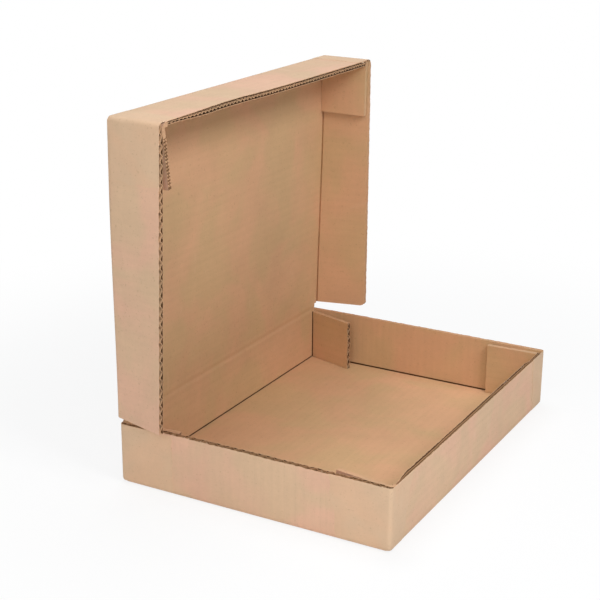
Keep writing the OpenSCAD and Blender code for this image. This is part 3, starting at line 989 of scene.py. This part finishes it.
def build_lid_channel(context):
    """Near wall, panel and far wall of the lid."""
    b, _, lid, _ = sizes(context)
    arc = np.radians(np.linspace(0, 90, FOLD))
    spread = np.linspace(0, 1, FREE + 1)[1:]
    wall_share = np.concatenate([np.ones(FREE), np.linspace(1, 0, FOLD)])
    foot_share, head_share = 0.02, 0.975
    us = np.concatenate([
        spaced(0, foot_share, 0.004),
        spaced(foot_share, head_share, b.step / lid.top)[1:],
        np.linspace(head_share, 1, 7)[1:],
    ])
    along = us * 260
    ragged = [
        wander(along, s, 2.0, b.rough) + wander(along, s + 7, 0.8, b.rough * 0.6)
        for s in (51, 52, 53, 54)
    ]
    ragged[0] -= b.worn
    dents, lips = valley_shape(FOLD)
    near, far, rings, tags = Edge(b.slot), Edge(b.shallow), [], None
    for k, u in enumerate(us):
        sides = []
        for sign, flare, foot in ((-1, lid.near_flare, lid.near_foot), (1, lid.far_flare, lid.far_foot)):
            low = foot * wall_share + PANEL_FOOT * (1 - wall_share)
            high = (lid.top - 0.4) * wall_share + (lid.top - b.bend) * (1 - wall_share)
            z = low + (high - low) * u
            pair = []
            for radius in (b.bend, b.crease):
                inset = b.bend - radius
                half_fold, half_free = fold_half(lid, z), free_half(lid, z, flare)
                crown = np.maximum(0, z - (lid.top - b.bend))
                lean_in = b.bend - np.sqrt(np.maximum(0, b.bend ** 2 - crown ** 2))
                pushed = radius + (dents * b.valley if radius == b.crease else 0.0)
                lip = b.valley * LIP if radius == b.crease else 0.0
                x_fold = b.bend - pushed * np.sin(arc) + lip * (lips < 0)
                y_fold = -b.bend + pushed * np.cos(arc) - lip * (lips > 0)
                depth = lid.depth
                if sign > 0:
                    d = max(0.0, LID_CORNER - (z[0] - foot))
                    depth -= LID_CORNER - math.sqrt(max(0.0, LID_CORNER ** 2 - d * d))
                xs = np.concatenate([b.bend + (depth - b.bend) * spread[::-1], x_fold])
                share = np.concatenate([spread[::-1], np.zeros(FOLD)])
                ys = np.concatenate([-inset + np.zeros(FREE), y_fold])
                y = half_fold + (half_free - half_fold) * share * (depth - b.bend) / (lid.depth - b.bend) + ys
                soft = np.minimum(lean_in, b.thickness - 0.5) if radius == b.bend else 0.0
                y = y - soft * wall_share
                xs = xs + (np.minimum(lean_in, 4.2) * (1 - wall_share) if radius == b.bend else 0.0)
                if radius == b.crease:
                    y = y + 2.0 * ramp(z, lid.top - 14, lid.top - 5) * ramp(xs, lid.depth - 14, lid.depth)
                pair.append(np.column_stack([xs, sign * y, z]))
            sides.append(pair)
        panel_z = PANEL_FOOT + (lid.top - b.bend - PANEL_FOOT) * u
        inner_half = fold_half(lid, panel_z) - b.bend
        ys = np.linspace(-inner_half, inner_half, 15)[1:-1]
        mid_o = np.column_stack([np.zeros(len(ys)), ys, np.full(len(ys), panel_z)])
        mid_i = mid_o + [b.thickness, 0, 0]
        o = np.concatenate([sides[0][0], mid_o, sides[1][0][::-1]])
        i = np.concatenate([sides[0][1], mid_i, sides[1][1][::-1]])
        o, i = lid_place(lid, b, o), lid_place(lid, b, i)
        t0, t1 = unit(o[0] - o[1]), unit(o[-1] - o[-2])
        points, tags = ring_loop(
            o, i,
            (t0, b.liner, near.slot, (ragged[0][k], ragged[1][k])),
            (t1, b.liner, far.slot, (ragged[2][k] * 0.5, ragged[3][k] * 0.5 + 0.2)),
            pressed=True,
        )
        rings.append(points)
        near.add(float(sides[0][0][0][2]), o[0], i[0], t0)
        far.add(float(sides[1][0][0][2]), o[-1], i[-1], t1)
    EDGES["lid_near"], EDGES["lid_far"] = near, far
    mesh = sheet_mesh("lid_shell", rings, tags, kit("z"))
    return add_piece(context, mesh, "lid", ["lid_board"])


def build_lid_top(context):
    """The lid's top wall with the bend down to the panel."""
    b, _, lid, _ = sizes(context)
    reach = lid.half_front - b.thickness - WALL_GAP - b.bend
    us = spaced(-reach, reach, b.step)
    ragged = [wander(us, s, 2.6, b.rough) + wander(us, s + 5, 0.9, b.rough * 0.8) for s in (71, 72)]
    level = lid.top - b.bend
    arc_o, arc_i = bent((b.bend, level), 180, 90, (b.bend, b.crease), valley=b.valley * 0.6)
    xs = np.linspace(b.bend, lid.depth, 7)[1:]
    edge, rings, tags = Edge(b.slot), [], None
    for k, y in enumerate(us):
        o = np.array(list(arc_o) + [(x, lid.top) for x in xs])
        i = np.array(list(arc_i) + [(x, lid.top - b.thickness) for x in xs])
        pinch = 0.5 * ramp(-y, reach - 60, reach - 4) - 0.2
        i[:, 1] += b.thickness * pinch * ramp(i[:, 0], lid.depth - 18, lid.depth)
        bow = 0.7 * math.exp(-((y + 45) / 40) ** 2)
        rise = 1.7 * math.exp(-((y + 75) / 60) ** 2)
        for rows in (o, i):
            rows[:, 0] += bow * ramp(rows[:, 0], 20, lid.depth)
            rows[:, 1] += rise * ramp(rows[:, 0], 8, lid.depth)
        o3 = lid_place(lid, b, np.column_stack([o[:, 0], np.full(len(o), y), o[:, 1]]))
        i3 = lid_place(lid, b, np.column_stack([i[:, 0], np.full(len(i), y), i[:, 1]]))
        out = unit(o3[-1] - o3[-2])
        end = (out, b.liner, b.slot, (ragged[0][k] - b.worn * 0.6, ragged[1][k]))
        # The fold's inner faces get painted shade.
        points, tags = ring_loop(o3, i3, None, end, range(len(arc_i) - 1))
        rings.append(points)
        edge.add(y, o3[-1], i3[-1], out)
    EDGES["lid_top"] = edge
    return add_piece(context, sheet_mesh("lid_top_wall", rings, tags, kit("x")), "lid")


def lid_tab_rings(b, lid, side, swing, first, last, free):
    """Rings across a lid tab from the top wall, over its fold, to its free end.
    first and last choose the part of the path; free is the fork at the end, or None."""
    level = lid.top - b.bend
    middle = lid.half_front - b.thickness - WALL_GAP - b.bend
    s = math.degrees(swing)
    arc_o, arc_i = bent((middle, level), 90, -s, (b.bend, b.crease), 8)
    ahead = np.array([-math.sin(swing), -math.cos(swing)])
    run = lid.tab - b.thickness / 2 - 1.9
    steps = np.linspace(0, run, 7)[1:]
    o = np.array([p for p in arc_o] + [arc_o[-1] + ahead * d for d in steps])
    i = np.array([p for p in arc_i] + [arc_i[-1] + ahead * d for d in steps])
    share = np.concatenate([np.linspace(0, 1, len(arc_o)), np.ones(len(steps))])
    o, i, share = o[first:last], i[first:last], share[first:last]
    us = with_ends(spaced(0, 1, b.step / lid.tab_width))
    slope = lid.front_flare / (lid.depth - b.thickness)
    edge, side_edge, rings, tags = Edge(b.slot), Edge(b.shallow), [], None
    for u in us:
        x0 = b.bend * (1 - share) + (b.thickness + TAB_GAP) * share
        x1 = lid.depth * (1 - share) + (b.thickness + TAB_GAP + lid.tab_width) * share
        x = x0 + (x1 - x0) * u
        place = lambda rows: lid_place(lid, b, np.column_stack([
            x, side * (rows[:, 0] + (x - x0) * slope * share), rows[:, 1],
        ]))
        previous = o3 if u > 0 else None
        o3, i3 = place(o), place(i)
        out = unit(o3[-1] - o3[-2])
        rough = [float(wander(u * 50, free + n, 1.8, b.rough)) for n in (0, 1)] if free else None
        end = (out, b.liner, shut(b.slot, u), rough) if free else None
        points, tags = ring_loop(o3, i3, None, end)
        rings.append(points)
        edge.add(float(x[-1]), o3[-1], i3[-1], out)
    forward = unit(o3[-1] - previous[-1])
    for k in range(len(o3)):
        side_edge.add(float(np.linalg.norm(o3[k] - o3[0])), o3[k], i3[k], forward)
    return rings, tags, edge, side_edge


def build_lid_far_tab(context):
    """The far tab, tucked under the top wall against the far wall."""
    b, _, lid, _ = sizes(context)
    rings, tags, edge, _ = lid_tab_rings(b, lid, 1, 0.0, 0, None, 81)
    EDGES["lid_far_tab"] = edge
    mesh = sheet_mesh("lid_far_tab", rings, tags, kit("x"), caps=(INNER, INNER))
    return add_piece(context, mesh, "lid")


def build_lid_near_tab(context):
    """The near tab, loose, with its serrated side, and the soft fold that it hangs from."""
    b, _, lid, _ = sizes(context)
    rings, tags, edge, side_edge = lid_tab_rings(b, lid, -1, lid.tab_swing, 8, None, 83)
    EDGES["lid_near_tab"], EDGES["lid_near_tab_side"] = edge, side_edge
    # The cap at the serrated side gets painted shade, which shows between the teeth.
    mesh = sheet_mesh("lid_near_tab_shell", rings, tags, kit("x"), caps=(EDGE, PAINTED_SHADE))
    add_piece(context, mesh, "near_tab", ["lid_near_tab"])
    rings, tags, _, _ = lid_tab_rings(b, lid, -1, lid.tab_swing, 0, 9, None)
    fold = add_piece(context, sheet_mesh("lid_near_tab_fold", rings, tags, kit("x")), None)
    root = (b.thickness + TAB_GAP, 0, lid.top - b.thickness * 1.5 - TAB_GAP)
    axis = Vector(lid_place(lid, b, [root])[0]) * MM
    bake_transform(fold)


def build_hinge(context):
    """The scored fold between the tray's rear wall and the lid."""
    b, t, lid, _ = sizes(context)
    us = spaced(-t.score, t.score, b.step * 2)
    face, base = -t.width / 2, t.height - HINGE_LAP
    top = lid.axis + PANEL_FOOT
    rings, tags = [], None
    for y in us:
        zs = np.linspace(base, top, 13)
        groove = np.exp(-((zs - (t.height + 0.9)) / 2.2) ** 2)
        soft = 1 + wander(y, 91, 30, 0.3)
        lean = np.maximum(0, zs - lid.axis) * math.tan(lid.lean)
        o = np.column_stack([face + 1.1 * groove + lean, np.full(len(zs), y), zs])
        i = np.column_stack([face + b.thickness - 0.35 * soft * groove + lean, np.full(len(zs), y), zs])
        points, tags = ring_loop(o, i)
        rings.append(points)
    fold = add_piece(context, sheet_mesh("hinge_fold", rings, tags, kit("z"), 60), None)
    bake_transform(fold)


# Edges, tape, torn paper

def build_flutes(context):
    """Fluted paper in every cut edge."""
    b, _, _, _ = sizes(context)
    tree = flutes_tree()
    paper, shade = bpy.data.materials["flute_paper"], bpy.data.materials["flute_shade"]
    swing = (b.thickness - 2 * b.liner - b.medium) / 2
    across = b.thickness / 2
    rows = [
        ("tray_near", "tray", 0.3), ("lid_near", "lid", 2.0),
        ("tray_tab_near_rear", "tray", 0.2), ("tray_tab_far_rear", "tray", 1.7),
        ("tray_tab_near_front", "tray", 2.9), ("tray_tab_far_front", "tray", 0.9),
        ("lid_far_tab", "lid", 0.4), ("lid_near_tab", "near_tab", 1.4),
    ]
    # The tray's near edge gets the darker flute paper, painted shade.
    for key, body, phase in rows:
        depth = EDGES[key].slot - 0.6
        strip_on_edge(context, tree, "flutes_" + key, EDGES[key], body, {
            "Pitch": b.pitch, "Swing": swing, "Depth": depth, "Thickness": b.medium, "Phase": phase,
            "Crush": 0.6 if key == "tray_near" else 0.25, "Steps": 12.0,
            "Material": shade if key == "tray_near" else paper,
        }, across, depth / 2 + 0.15)
    # The front wall's ridge also gets the darker flute paper, painted shade.
    depth = b.slot - 0.9
    strip_on_edge(context, tree, "ridge_tray_front_wall", EDGES["tray_front_wall"], "tray", {
        "Pitch": 96.0, "Swing": 0.3, "Depth": depth, "Thickness": 0.9, "Phase": 0.8,
        "Crush": 0.4, "Steps": 60.0, "Material": shade,
    }, across - 0.1, depth / 2 + 0.45)
    strip_on_edge(context, tree, "ripple_lid_top", EDGES["lid_top"], "lid", {
        "Pitch": 5.4, "Swing": 0.75, "Depth": depth, "Thickness": 0.5, "Phase": 0.8,
        "Crush": 0.3, "Steps": 12.0, "Material": paper,
    }, across + 0.2, depth / 2 + 0.35)


def build_teeth(context):
    """Teeth on the near lid tab's serrated side."""
    b, _, _, _ = sizes(context)
    tree = teeth_tree()
    paper = bpy.data.materials["cut_edge"]
    for layer, across, height in (("outer", 0.9, 1.0), ("inner", b.thickness - 0.8, 1.3)):
        strip_on_edge(context, tree, "teeth_" + layer, EDGES["lid_near_tab_side"], "near_tab", {
            "Pitch": 2.9, "Height": height, "Thickness": 1.7, "Seed": 21, "Material": paper,
        }, across, 0.1)


def build_torn(context):
    """Torn bits of liner on the cut edges."""
    tree = torn_tree()
    paper = bpy.data.materials["torn_paper"]
    rows = [
        ("tray_near", "tray", 46, 0.8, 3.6, 11), ("tray_far", "tray", 18, 0.6, 3.6, 12),
        ("lid_near", "lid", 40, 0.7, 3.6, 13), ("lid_far", "lid", 14, 0.5, 3.6, 14),
        ("tray_front_wall", "tray", 18, 0.7, 3.4, 15), ("lid_top", "lid", 16, 0.6, 3.0, 16),
    ]
    for key, body, count, size, room, seed in rows:
        strip_on_edge(context, tree, "torn_" + key, EDGES[key], body, {
            "Count": count, "Size": size, "Room": room, "Seed": seed, "Material": paper,
        }, 0.2, TORN_DROP[body])
    spots = [
        ("rear", "tray_near", "tray", -66, -58, 5, 1.5, 0.1), (
            "middle", "tray_near", "tray", -47, -40, 6, 1.7, 0.1,
        ),
        ("corner", "tray_near", "tray", 117, 124, 7, 1.6, 0.3), (
            "far", "tray_front_wall", "tray", 116, 131, 12, 1.5, 3.2,
        ),
        ("mid", "tray_front_wall", "tray", 72, 86, 12, 1.5, 3.2), (
            "far", "lid_top", "lid", 163, 171, 8, 1.7, 0.4,
        ),
    ]
    for seed, (place, key, body, start, end, count, size, across) in enumerate(spots, 31):
        strip_on_edge(context, tree, f"torn_{key}_{place}", EDGES[key], body, {
            "Count": count, "Size": size, "Room": 1.0, "Seed": seed, "Material": paper,
        }, across, SPOT_DROP[body], part=(start, end))


def tape_mesh(name, rings):
    """A strip of tape, with torn ends."""
    paper, torn = bpy.data.materials["tape_paper"], bpy.data.materials["torn_paper"]
    return sheet_mesh(name, rings, [OUTER] * len(rings[0]), [paper, paper, torn, paper], 40)


def tray_tape(context, front, far, side_lengths, end_lengths, top, node):
    """Tape round a corner of the tray. The two pairs are lengths at the bottom and at the top."""
    b, t, _, tape = sizes(context)
    sx, sy = (-1 if front else 1), (-1 if far else 1)
    r = tape.round
    us = spaced(2.2, top, 1.6)
    seed = 100 + 4 * front + 2 * far
    rings = []
    for z in us:
        f = (z - us[0]) / (us[-1] - us[0])
        torn = wander(z, seed, 5.0, tape.torn) + wander(z, seed + 1, 1.5, tape.torn * 0.3)
        side = side_lengths[0] + (side_lengths[1] - side_lengths[0]) * f + float(torn)
        torn = wander(z, seed + 2, 5.0, tape.torn)
        end = end_lengths[0] + (end_lengths[1] - end_lengths[0]) * f + float(torn)
        foot = max(0.0, b.bend - z)
        tuck = b.bend - math.sqrt(b.bend ** 2 - foot ** 2)
        pair = []
        for off in (tape.thickness, 0.02):
            run = [(x, -off + tuck) for x in np.linspace(side, r, 6)]
            arc = [
                (r - (r + off - tuck) * math.sin(a), r - (r + off - tuck) * math.cos(a))
                for a in np.radians(np.linspace(0, 90, 7))
            ]
            back = [(-off + tuck, y) for y in np.linspace(r, end, 5)[1:]]
            rows = np.array(run + arc[1:] + back)
            bow = wall_bow(t, rows[:, 0], z) * (rows[:, 1] <= tuck)
            x = (rows[:, 0] - t.width / 2) * sx
            y = (rows[:, 1] - bow - t.long / 2) * sy
            pair.append(np.column_stack([x, y, np.full(len(rows), z)]))
        rings.append(list(pair[0]) + list(pair[1][::-1]))
    return add_piece(context, tape_mesh(node + "_wrap", rings), "tray", [node])


def lid_tape(context, side, flare, node):
    """Tape over a top corner of the lid."""
    b, _, lid, tape = sizes(context)
    r = tape.round + 0.8
    us = spaced(b.bend * 0.55, lid.depth - b.worn * 0.8, 1.6)
    rings = []
    for x in us:
        down = lid.top - tape.lid_side + float(wander(x, 120 + side, 8.0, tape.torn))
        over = tape.lid_top + float(wander(x, 124 + side, 7.0, tape.torn))
        share = max(0.0, (x - b.bend) / (lid.depth - b.bend))
        pair = []
        for off in (tape.thickness, 0.02):
            zs = np.linspace(down, lid.top - r, 8)
            half = fold_half(lid, zs) + (free_half(lid, zs, flare) - fold_half(lid, zs)) * share + off
            end = half[-1]
            arc = [
                (end - (r + off) + (r + off) * math.cos(a), lid.top - r + (r + off) * math.sin(a))
                for a in np.radians(np.linspace(0, 90, 7))[1:]
            ]
            flat = [(y, lid.top + off) for y in np.linspace(end - r - off, lid.half_front - over, 5)[1:]]
            rows = np.array(list(zip(half, zs)) + arc + flat)
            drop = b.bend - math.sqrt(max(0.0, b.bend ** 2 - max(0.0, b.bend - x) ** 2))
            rows[:, 1] -= drop * ramp(rows[:, 1], lid.top - 2 * r, lid.top)
            rows[:, 0] -= drop * ramp(-rows[:, 1], r - lid.top, 4 * r - lid.top)
            pair.append(
                lid_place(lid, b, np.column_stack([np.full(len(rows), x), side * rows[:, 0], rows[:, 1]]))
            )
        rings.append(list(pair[0]) + list(pair[1][::-1]))
    return add_piece(context, tape_mesh(node + "_wrap", rings), "lid", [node])


# Front, far, lengths on the side wall and on the end wall at the bottom and the top, top height and node
TRAY_TAPES = [
    (False, False, (53, 53), (32, 32), 54.8, "tray_tape_near_rear"),
    (False, True, (53, 52), (32, 32), 56.4, "tray_tape_far_rear"),
    (True, False, (47, 56), (22, 38), 56.2, "tray_tape_near_front"),
    (True, True, (53, 52), (26, 32), 56.6, "tray_tape_far_front"),
]


# Stage

def camera_matrix(st):
    """The camera's place and turn."""
    cy, sy, cp, sp = math.cos(st.yaw), math.sin(st.yaw), math.cos(st.pitch), math.sin(st.pitch)
    ahead = Vector((sy * cp, cy * cp, -sp))
    right = Vector((cy, -sy, 0))
    up = right.cross(ahead)
    c, s = math.cos(st.roll), math.sin(st.roll)
    right, up = right * c + up * s, up * c - right * s
    m = Matrix((right, up, -ahead)).transposed().to_4x4()
    m.translation = Vector(st.place)
    return m


def area_light(context, name, power, size, place, aim, tint=(1, 1, 1)):
    """A soft square lamp that looks from its place at a point."""
    data = bpy.data.lights.new(name, "AREA")
    data.energy, data.size, data.color = power, size, tint
    obj = bpy.data.objects.new(name, data)
    context.scene.collection.objects.link(obj)
    turn = (Vector(aim) - Vector(place)).to_track_quat("-Z", "Y")
    obj.matrix_world = Matrix.Translation(place) @ turn.to_matrix().to_4x4()
    return obj


def straight_view(g):
    """1 for what the camera sees by itself or in gloss, 0 for the light that reaches other surfaces."""
    path = g.node("ShaderNodeLightPath").outputs
    return g.math(
        "MAXIMUM", path["Is Camera Ray"],
        g.math("MAXIMUM", path["Is Glossy Ray"], path["Is Transmission Ray"]),
    )


def floor_material(veil):
    """A pale floor that keeps the box's shadow and fades to white away from it."""
    mat = bpy.data.materials.new("floor_white")
    mat.use_nodes = True
    g = Graph(mat.node_tree)
    mat.node_tree.nodes.clear()
    pale = g.node("ShaderNodeBsdfDiffuse", {"Color": (0.93, 0.93, 0.93, 1)})
    white = g.node("ShaderNodeEmission", {"Color": (1, 1, 1, 1), "Strength": 1.0})
    where = g.node("ShaderNodeTexCoord").outputs["Object"]
    away = g.node("ShaderNodeVectorMath", {0: where}, operation="LENGTH").outputs["Value"]
    share = g.math("MULTIPLY", g.span(away, 0.2, 0.7, veil, 1.0), straight_view(g))
    mixed = g.node("ShaderNodeMixShader", {0: share, 1: pale.outputs[0], 2: white.outputs[0]})
    out = g.node("ShaderNodeOutputMaterial")
    g.tree.links.new(mixed.outputs[0], out.inputs["Surface"])
    return mat


def build_stage(context):
    """Camera, floor, lights and the white surround."""
    st = context.scene.frame_box.stage
    scene = context.scene
    data = bpy.data.cameras.new("camera")
    data.lens, data.sensor_width, data.clip_end = st.lens, 36.0, 50.0
    camera = bpy.data.objects.new("camera", data)
    scene.collection.objects.link(camera)
    camera.matrix_world = camera_matrix(st)
    scene.camera = camera

    mesh = bpy.data.meshes.new("floor")
    mesh.from_pydata([(-6, -6, 0), (6, -6, 0), (6, 6, 0), (-6, 6, 0)], [], [(0, 1, 2, 3)])
    mesh.materials.append(floor_material(st.veil))
    floor = bpy.data.objects.new("floor", mesh)
    scene.collection.objects.link(floor)

    world = bpy.data.worlds.new("surround")
    world.use_nodes = True
    scene.world = world
    g = Graph(world.node_tree)
    world.node_tree.nodes.clear()
    lit = g.node("ShaderNodeBackground", {"Color": (1.0, 0.99, 0.975, 1), "Strength": st.fill})
    white = g.node("ShaderNodeBackground", {"Color": (1, 1, 1, 1), "Strength": 1.0})
    mixed = g.node("ShaderNodeMixShader", {0: straight_view(g), 1: lit.outputs[0], 2: white.outputs[0]})
    out = g.node("ShaderNodeOutputWorld")
    g.tree.links.new(mixed.outputs[0], out.inputs["Surface"])

    area_light(context, "key", st.key, 0.5, (1.05, -0.35, 1.2), (0, 0, 0.1))
    area_light(context, "top", st.top, 1.0, (-0.35, 0.25, 1.8), (0, 0, 0), (0.87, 0.935, 1.0))
    area_light(context, "fill_right", st.right, 1.2, (0.7, -1.5, 1.0), (0, 0, 0.1))
    area_light(context, "fill_left", st.left, 1.2, (-0.3, -1.6, 0.8), (0, 0, 0.1), (1.0, 0.95, 0.88))
    scene.view_settings.view_transform = "Standard"


# Operators

class FRAMEBOX_OT_materials(bpy.types.Operator):
    """Makes the shader node groups and the finishes"""
    bl_idname = "frame_box.materials"
    bl_label = "Finishes"

    def execute(self, context):
        make_materials()
        return {"FINISHED"}


class FRAMEBOX_OT_tray(bpy.types.Operator):
    """Builds the tray's floor, walls and tabs"""
    bl_idname = "frame_box.tray"
    bl_label = "Tray"

    def execute(self, context):
        build_tray_channel(context)
        swings = context.scene.frame_box.tray.swings
        for front in (False, True):
            build_tray_end(context, front)
            for far in (False, True):
                build_tray_tab(context, front, far, swings[2 * front + far])
        return {"FINISHED"}


class FRAMEBOX_OT_lid(bpy.types.Operator):
    """Builds the lid's panel, walls and tabs"""
    bl_idname = "frame_box.lid"
    bl_label = "Lid"

    def execute(self, context):
        build_lid_channel(context)
        build_lid_top(context)
        build_lid_far_tab(context)
        build_lid_near_tab(context)
        return {"FINISHED"}


class FRAMEBOX_OT_hinge(bpy.types.Operator):
    """Builds the scored fold between tray and lid"""
    bl_idname = "frame_box.hinge"
    bl_label = "Hinge fold"

    def execute(self, context):
        build_hinge(context)
        return {"FINISHED"}


class FRAMEBOX_OT_flutes(bpy.types.Operator):
    """Fills the cut edges with fluted paper and cuts the teeth of the near tab"""
    bl_idname = "frame_box.flutes"
    bl_label = "Flutes and teeth"

    def execute(self, context):
        build_flutes(context)
        build_teeth(context)
        return {"FINISHED"}


class FRAMEBOX_OT_torn(bpy.types.Operator):
    """Scatters torn bits of liner on the cut edges"""
    bl_idname = "frame_box.torn"
    bl_label = "Torn paper"

    def execute(self, context):
        build_torn(context)
        return {"FINISHED"}


class FRAMEBOX_OT_tape(bpy.types.Operator):
    """Lays the paper tape round the corners"""
    bl_idname = "frame_box.tape"
    bl_label = "Tape"

    def execute(self, context):
        _, _, lid, _ = sizes(context)
        for row in TRAY_TAPES:
            tray_tape(context, *row)
        lid_tape(context, -1, lid.near_flare, "lid_tape_near")
        lid_tape(context, 1, lid.far_flare, "lid_tape_far")
        return {"FINISHED"}


class FRAMEBOX_OT_stage(bpy.types.Operator):
    """Sets the camera, the floor and the lights"""
    bl_idname = "frame_box.stage"
    bl_label = "Stage"

    def execute(self, context):
        build_stage(context)
        return {"FINISHED"}


class FRAMEBOX_PT_panel(bpy.types.Panel):
    """Settings and steps of the frame box"""
    bl_idname = "FRAMEBOX_PT_panel"
    bl_label = "Frame Box"
    bl_space_type = "VIEW_3D"
    bl_region_type = "UI"
    bl_category = "Frame Box"

    def draw(self, context):
        s = context.scene.frame_box
        for title, group in (
            ("Board", s.board), ("Tray", s.tray), ("Lid", s.lid), ("Tape", s.tape), ("Stage", s.stage),
        ):
            box = self.layout.box()
            box.label(text=title)
            for key in group.__annotations__:
                box.prop(group, key)
        for op in STEPS:
            self.layout.operator(op.bl_idname)


GROUPS = [FrameBoxBoard, FrameBoxTray, FrameBoxLid, FrameBoxTape, FrameBoxStage, FrameBoxSettings]
STEPS = [
    FRAMEBOX_OT_materials, FRAMEBOX_OT_tray, FRAMEBOX_OT_lid, FRAMEBOX_OT_hinge,
    FRAMEBOX_OT_flutes, FRAMEBOX_OT_torn, FRAMEBOX_OT_tape, FRAMEBOX_OT_stage,
]


def register():
    for cls in GROUPS + STEPS + [FRAMEBOX_PT_panel]:
        bpy.utils.register_class(cls)
    bpy.types.Scene.frame_box = PointerProperty(type=FrameBoxSettings)


def unregister():
    del bpy.types.Scene.frame_box
    for cls in reversed(GROUPS + STEPS + [FRAMEBOX_PT_panel]):
        bpy.utils.unregister_class(cls)


def main():
    """Registers the add-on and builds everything."""
    register()
    steps = bpy.ops.frame_box
    steps.materials()
    steps.tray()
    steps.lid()
    steps.hinge()
    steps.flutes()
    steps.torn()
    steps.tape()
    steps.stage()


if __name__ == "__main__":
    main()
